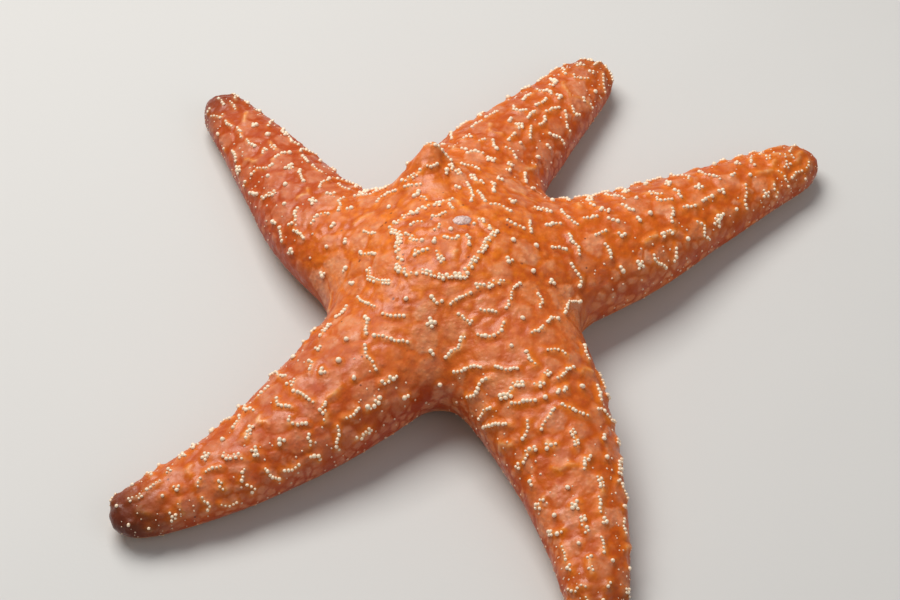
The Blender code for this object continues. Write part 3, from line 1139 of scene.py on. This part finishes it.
ORANGE = (0.72, 0.140, 0.004, 1.0)
BRIGHT_ORANGE = (0.88, 0.220, 0.006, 1.0)
DEEP_ORANGE = (0.44, 0.045, 0.001, 1.0)
RIDGE_ORANGE = (0.92, 0.30, 0.030, 1.0)
SALMON = (0.80, 0.215, 0.045, 1.0)
PALE_PINK = (0.84, 0.37, 0.185, 1.0)
TAN = (0.68, 0.265, 0.115, 1.0)
DUSKY_PINK = (0.56, 0.185, 0.105, 1.0)
WARM_SALMON = (0.76, 0.235, 0.075, 1.0)
RED_BROWN = (0.36, 0.030, 0.001, 1.0)
TIP_RED = (0.09, 0.014, 0.005, 1.0)
UNDER_TAN = (0.74, 0.38, 0.17, 1.0)
CREAM = (0.92, 0.55, 0.26, 1.0)
SPECK_BROWN = (0.10, 0.020, 0.012, 1.0)


MARKS = ("Patch", "Ridge", "Trough", "Flank", "Tip", "Under", "Glow", "Swell", "Deep", "Tan", "Speck")


def star_colour_group():
    """The star's markings, from the values that both the skin and its coat carry."""
    inputs = [("Vector", "Place", None)] + [("Float", name, 0.0) for name in MARKS]
    group, n, given, result = new_group("star_colour", inputs, [("Color", "Color"), ("Float", "Wetness")])
    place = given["Place"]
    cloud = n.noise(place, 90.0, 3.0, 0.6)
    mottle = n.noise(place, 420.0, 4.0, 0.6)
    grain = n.ramp(n.cells(place, 820.0, "SMOOTH_F1"), 0.15, 0.62)
    cobbles = n.ramp(n.cells(place, 400.0, "SMOOTH_F1"), 0.22, 0.62, 0.0, 0.42)
    ground = n.mix(given["Glow"], ORANGE, BRIGHT_ORANGE)
    ground = n.mix(n.math("MULTIPLY", given["Tan"], n.ramp(cloud, 0.3, 0.65, 0.2, 0.5)), ground, WARM_SALMON)
    # Flank: painted shade, the skin that faces sideways is darkened towards deep orange
    ground = n.mix(n.math("MULTIPLY", given["Flank"], n.ramp(cloud, 0.2, 0.7, 0.35, 0.75)), ground, DEEP_ORANGE)
    # Deep: red-brown ground, partly the skin's own colour and partly painted shade
    ground = n.mix(n.math("MULTIPLY", given["Deep"], n.ramp(mottle, 0.3, 0.7, 0.75, 1.0)), ground, RED_BROWN)
    ground = n.mix(n.ramp(mottle, 0.45, 0.72, 0.0, 0.4), ground, DEEP_ORANGE)
    # Trough: painted shade in the hollows beside the ridges
    ground = n.mix(n.math("MULTIPLY", given["Trough"], 0.4), ground, DEEP_ORANGE)
    ground = n.mix(n.math("MULTIPLY", grain, 0.2), ground, DEEP_ORANGE)
    ground = n.mix(n.math("MULTIPLY", given["Swell"], 0.75), ground, BRIGHT_ORANGE)
    # the patches' salmon to pale pink: partly the soft skin's own colour and partly painted reflection on wet skin
    soft = n.mix(n.ramp(n.noise(place, 170.0, 3.0, 0.6), 0.35, 0.65), SALMON, PALE_PINK)
    # patches in the deep places turn dusky pink: partly own colour and partly painted shade
    soft = n.mix(n.math("MULTIPLY", given["Deep"], 0.8), soft, DUSKY_PINK)
    soft = n.mix(n.math("MULTIPLY", given["Tan"], n.ramp(cloud, 0.3, 0.65, 0.25, 0.75)), soft, TAN)
    soft = n.mix(n.ramp(mottle, 0.42, 0.7, 0.0, 0.45), soft, ground)
    soft = n.mix(n.math("MULTIPLY", grain, 0.22), soft, ORANGE)
    shown = n.math("MULTIPLY", given["Patch"], n.ramp(cloud, 0.25, 0.6, 0.7, 1.0), clamp=True)
    colour = n.mix(shown, ground, soft)
    line = n.mix(n.ramp(mottle, 0.35, 0.65), RIDGE_ORANGE, CREAM)
    colour = n.mix(n.math("MULTIPLY", n.math("POWER", given["Ridge"], 3.0), 0.8), colour, line)
    colour = n.mix(n.math("MULTIPLY", cobbles, n.ramp(cloud, 0.35, 0.6, 0.3, 1.0)), colour, DEEP_ORANGE)
    specks = n.ramp(n.cells(place, 210.0), 0.085, 0.05)
    spread = n.ramp(n.noise(place, 120.0, 1.0), 0.52, 0.66)
    specks = n.math("MAXIMUM", n.math("MULTIPLY", specks, spread), n.ramp(given["Speck"], 0.25, 0.7))
    colour = n.mix(n.math("MULTIPLY", specks, 0.8), colour, SPECK_BROWN)
    colour = n.mix(n.math("MULTIPLY", given["Tip"], 0.9), colour, TIP_RED)
    colour = n.mix(n.math("MULTIPLY", given["Under"], n.ramp(mottle, 0.3, 0.7, 0.75, 1.0)), colour, UNDER_TAN)
    n.feed(result["Color"], colour)
    n.feed(result["Wetness"], n.ramp(n.noise(place, 140.0, 3.0, 0.6), 0.35, 0.65))
    return group


def star_colour(n, group, place):
    node = n.add("ShaderNodeGroup", node_tree=group)
    n.feed(node.inputs["Place"], place)
    for label in MARKS:
        n.feed(node.inputs[label], n.value(label.lower()))
    return node.outputs


def new_material(name, **constants):
    """A material with constants on its shader's sockets, its nodes, its shader and its object place."""
    material = bpy.data.materials.new(name)
    material.use_nodes = True
    n = Nodes(material.node_tree)
    shader = material.node_tree.nodes["Principled BSDF"]
    for label, value in constants.items():
        shader.inputs[label.replace("_", " ")].default_value = value
    place = n.add("ShaderNodeTexCoord").outputs["Object"]
    return material, n, shader.inputs, place


def bumped(n, height, strength, distance):
    node = n.add("ShaderNodeBump")
    n.feed(node.inputs["Height"], height)
    node.inputs["Strength"].default_value = strength
    node.inputs["Distance"].default_value = distance
    return node.outputs["Normal"]


def skin_material(group):
    material, n, shader, place = new_material(
        "wet_skin", Subsurface_Weight=0.08, Subsurface_Scale=0.0016, Coat_Roughness=0.20, IOR=1.33
    )
    shader["Subsurface Radius"].default_value = (1.0, 0.35, 0.12)
    marks = star_colour(n, group, place)
    n.feed(shader["Base Color"], marks["Color"])
    n.feed(shader["Roughness"], n.ramp(marks["Wetness"], 0.0, 1.0, 0.52, 0.36))
    n.feed(shader["Coat Weight"], n.ramp(marks["Wetness"], 0.0, 1.0, 0.0, 0.30))
    gills = n.math("ADD", 0.45, n.math("MULTIPLY", n.value("patch"), 0.55))
    gills = n.math("MULTIPLY", n.ramp(n.cells(place, 820.0, "SMOOTH_F1"), 0.0, 0.6, 1.0, 0.0), gills)
    pits = n.noise(place, 1500.0, 3.0, 0.6)
    height = n.math("ADD", n.math("MULTIPLY", gills, 0.8), n.math("MULTIPLY", pits, 0.4))
    height = n.math("ADD", height, n.math("MULTIPLY", n.noise(place, 380.0, 3.0, 0.5), 1.2))
    n.feed(shader["Normal"], bumped(n, height, 0.45, 0.0004))
    return material


def bead_material(name, group, foot, whiteness):
    """Cream limy beads that take the skin's colour at their feet."""
    material, n, shader, place = new_material(name, Coat_Weight=0.35, Coat_Roughness=0.15, IOR=1.5)
    marks = star_colour(n, group, place)
    level = n.ramp(n.math("ADD", n.value("height"), n.math("MULTIPLY", n.noise(place, 700.0), 0.2)), foot, foot + 0.3)
    chalk = n.mix(n.noise(place, 420.0, 2.0), (0.98, 0.72, 0.46, 1.0), (1.0, 0.88, 0.70, 1.0))
    # painted shade: beads on the flanks are darkened
    chalk = n.mix(n.math("MULTIPLY", n.value("flank"), 0.35), chalk, (0.86, 0.50, 0.26, 1.0))
    n.feed(shader["Base Color"], n.mix(n.math("MULTIPLY", level, whiteness), marks["Color"], chalk))
    n.feed(shader["Roughness"], n.ramp(n.noise(place, 900.0, 2.0), 0.3, 0.7, 0.28, 0.48))
    n.feed(shader["Normal"], bumped(n, n.noise(place, 1700.0, 2.0), 0.4, 0.00018))
    return material


def peg_material(group):
    material, n, shader, place = new_material("underside_pegs", Roughness=0.42, IOR=1.45)
    marks = star_colour(n, group, place)
    chalk = n.mix(n.noise(place, 300.0, 3.0), (0.86, 0.56, 0.30, 1.0), (0.92, 0.74, 0.50, 1.0))
    level = n.ramp(n.value("height"), 0.15, 0.8)
    n.feed(shader["Base Color"], n.mix(level, marks["Color"], chalk))
    n.feed(shader["Normal"], bumped(n, n.noise(place, 1600.0, 3.0), 0.35, 0.00015))
    return material


def feet_material():
    material, n, shader, place = new_material("tube_feet", Subsurface_Weight=0.25, Subsurface_Scale=0.001, Coat_Weight=0.6)
    height = n.value("height")
    band = n.ramp(n.math("SINE", n.math("MULTIPLY", height, 75.0)), -0.6, 0.6, 0.0, 0.3)
    stalk = n.mix(n.noise(place, 350.0, 3.0), (0.80, 0.45, 0.17, 1.0), (0.90, 0.62, 0.32, 1.0))
    stalk = n.mix(band, stalk, (0.70, 0.34, 0.12, 1.0))
    n.feed(shader["Base Color"], n.mix(n.ramp(height, 0.24, 0.08), stalk, (0.94, 0.82, 0.62, 1.0)))
    n.feed(shader["Roughness"], n.ramp(n.noise(place, 500.0), 0.3, 0.7, 0.22, 0.40))
    n.feed(shader["Normal"], bumped(n, n.noise(place, 1500.0, 3.0), 0.3, 0.0002))
    return material


def mouth_material():
    material, n, shader, place = new_material("mouth_membrane", Subsurface_Weight=0.15, Subsurface_Scale=0.001, Coat_Weight=0.5)
    vein = n.noise(place, 500.0, 4.0, 0.6, 1.0)
    colour = n.mix(n.ramp(vein, 0.35, 0.65), (0.62, 0.26, 0.12, 1.0), (0.82, 0.48, 0.28, 1.0))
    n.feed(shader["Base Color"], colour)
    n.feed(shader["Roughness"], n.ramp(vein, 0.3, 0.7, 0.25, 0.45))
    n.feed(shader["Normal"], bumped(n, vein, 0.5, 0.0003))
    return material


def plate_material():
    material, n, shader, place = new_material("sieve_plate", IOR=1.5, Coat_Weight=0.35)
    grain = n.noise(place, 1300.0, 4.0, 0.65)
    colour = n.mix(n.ramp(grain, 0.35, 0.65), (0.54, 0.34, 0.31, 1.0), (0.78, 0.60, 0.54, 1.0))
    n.feed(shader["Base Color"], n.mix(n.ramp(n.noise(place, 420.0), 0.5, 0.75, 0.0, 0.5), colour, (0.72, 0.36, 0.24, 1.0)))
    n.feed(shader["Roughness"], n.ramp(grain, 0.3, 0.7, 0.35, 0.6))
    n.feed(shader["Normal"], bumped(n, grain, 0.4, 0.0002))
    return material


def eye_material():
    material, n, shader, place = new_material("eyespot", Coat_Weight=0.8, IOR=1.45)
    speckle = n.noise(place, 1500.0, 3.0)
    n.feed(shader["Base Color"], n.mix(n.ramp(speckle, 0.35, 0.7), (0.22, 0.01, 0.008, 1.0), (0.45, 0.03, 0.015, 1.0)))
    n.feed(shader["Roughness"], n.ramp(speckle, 0.3, 0.7, 0.15, 0.35))
    return material


def floor_material():
    material, n, shader, place = new_material("pale_floor", IOR=1.45)
    shade = n.noise(place, 9.0, 4.0, 0.5)
    n.feed(shader["Base Color"], n.mix(shade, (0.60, 0.59, 0.57, 1.0), (0.66, 0.65, 0.63, 1.0)))
    n.feed(shader["Roughness"], n.ramp(shade, 0.3, 0.7, 0.55, 0.65))
    n.feed(shader["Normal"], bumped(n, n.noise(place, 900.0, 3.0), 0.08, 0.0003))
    return material


# --- the stage --------------------------------------------------------------------------------------

AIM = Vector((-1.5, -14.0, 25.0)) * MM  # what the camera looks at, from the disc's middle
CAMERA_AWAY = 0.80
CAMERA_ELEVATION = math.radians(51)
CAMERA_AZIMUTH = 0.0
LENS = 114.0


def floor():
    shape = bmesh.new()
    bmesh.ops.create_grid(shape, x_segments=2, y_segments=2, size=3.0)
    ground = mesh_object("floor", shape)
    ground.data.materials.append(floor_material())


def soft_box(name, place, size, power, colour=(1.0, 1.0, 1.0)):
    light = bpy.data.lights.new(name, "AREA")
    light.shape = "RECTANGLE"
    light.size, light.size_y = size
    light.energy = power
    light.color = colour
    lamp = new_object(name, light)
    lamp.location = place
    lamp.rotation_euler = (Vector(place) - Vector((0, 0, 0.02))).to_track_quat("Z", "Y").to_euler()
    return lamp


def lights():
    world = bpy.data.worlds.new("studio")
    world.use_nodes = True
    world.node_tree.nodes["Background"].inputs["Color"].default_value = (0.97, 0.98, 1.0, 1.0)
    world.node_tree.nodes["Background"].inputs["Strength"].default_value = 0.22
    bpy.context.scene.world = world
    soft_box("key", (-0.32, 0.46, 0.90), (0.8, 0.6), 11.8, (1.0, 0.98, 0.95))
    soft_box("fill", (0.7, -0.5, 0.7), (0.8, 0.8), 1.6, (0.98, 0.98, 1.0))


def camera():
    data = bpy.data.cameras.new("camera")
    data.lens = LENS
    eye = new_object("camera", data)
    back = Vector((
        math.sin(CAMERA_AZIMUTH) * math.cos(CAMERA_ELEVATION),
        -math.cos(CAMERA_AZIMUTH) * math.cos(CAMERA_ELEVATION),
        math.sin(CAMERA_ELEVATION),
    ))
    eye.location = MIDDLE + AIM + back * CAMERA_AWAY
    eye.rotation_euler = back.to_track_quat("Z", "Y").to_euler()
    bpy.context.scene.camera = eye


# --- making it --------------------------------------------------------------------------------------


def dress(thing, material):
    thing.data.materials.clear()
    thing.data.materials.append(material)
    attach(thing, "root")


def make_star():
    chance = random.Random(5)
    arms = [Arm(name) for name in ARMS]
    skin = bare_skin()
    surface = Surface(skin.data)
    work = Beadwork(surface, arms)
    markings = Markings(arms, work, surface)
    group = star_colour_group()

    places = places_of(skin.data)
    values = markings.at(places, places_of(skin.data, "vertex_normals", "vector"))
    moved_out(skin.data, relief(values, places))
    for key, found in values.items():
        give_values(skin.data, key, found)
    dress(skin, skin_material(group))
    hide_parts(*FLESH)

    beads = bead_coat("bead_chains", work.beads, BEAD_RADIUS, markings, arms, chance, 1.1)
    dress(beads, bead_material("bead_cream", group, 0.42, 1.0))
    small = bead_coat("side_beads", work.small, SIDE_BEAD_RADIUS, markings, arms, chance)
    dress(small, bead_material("side_bead_cream", group, 0.45, 0.75))
    dress(peg_coat(surface, arms, markings, chance), peg_material(group))

    feet = feet_material()
    for arm in arms:
        rows = tube_feet(surface, arm, chance)
        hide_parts("tube_feet_" + arm.name)
        dress(rows, feet)
    dress(mouth_membrane(), mouth_material())
    dress(sieve_plate(surface), plate_material())
    dress(eyespots(surface, arms), eye_material())
    print("beads", len(work.beads), len(work.small), "skin faces", len(skin.data.polygons))


make_star()
floor()
lights()
camera()
bpy.context.scene.view_settings.view_transform = "Standard"
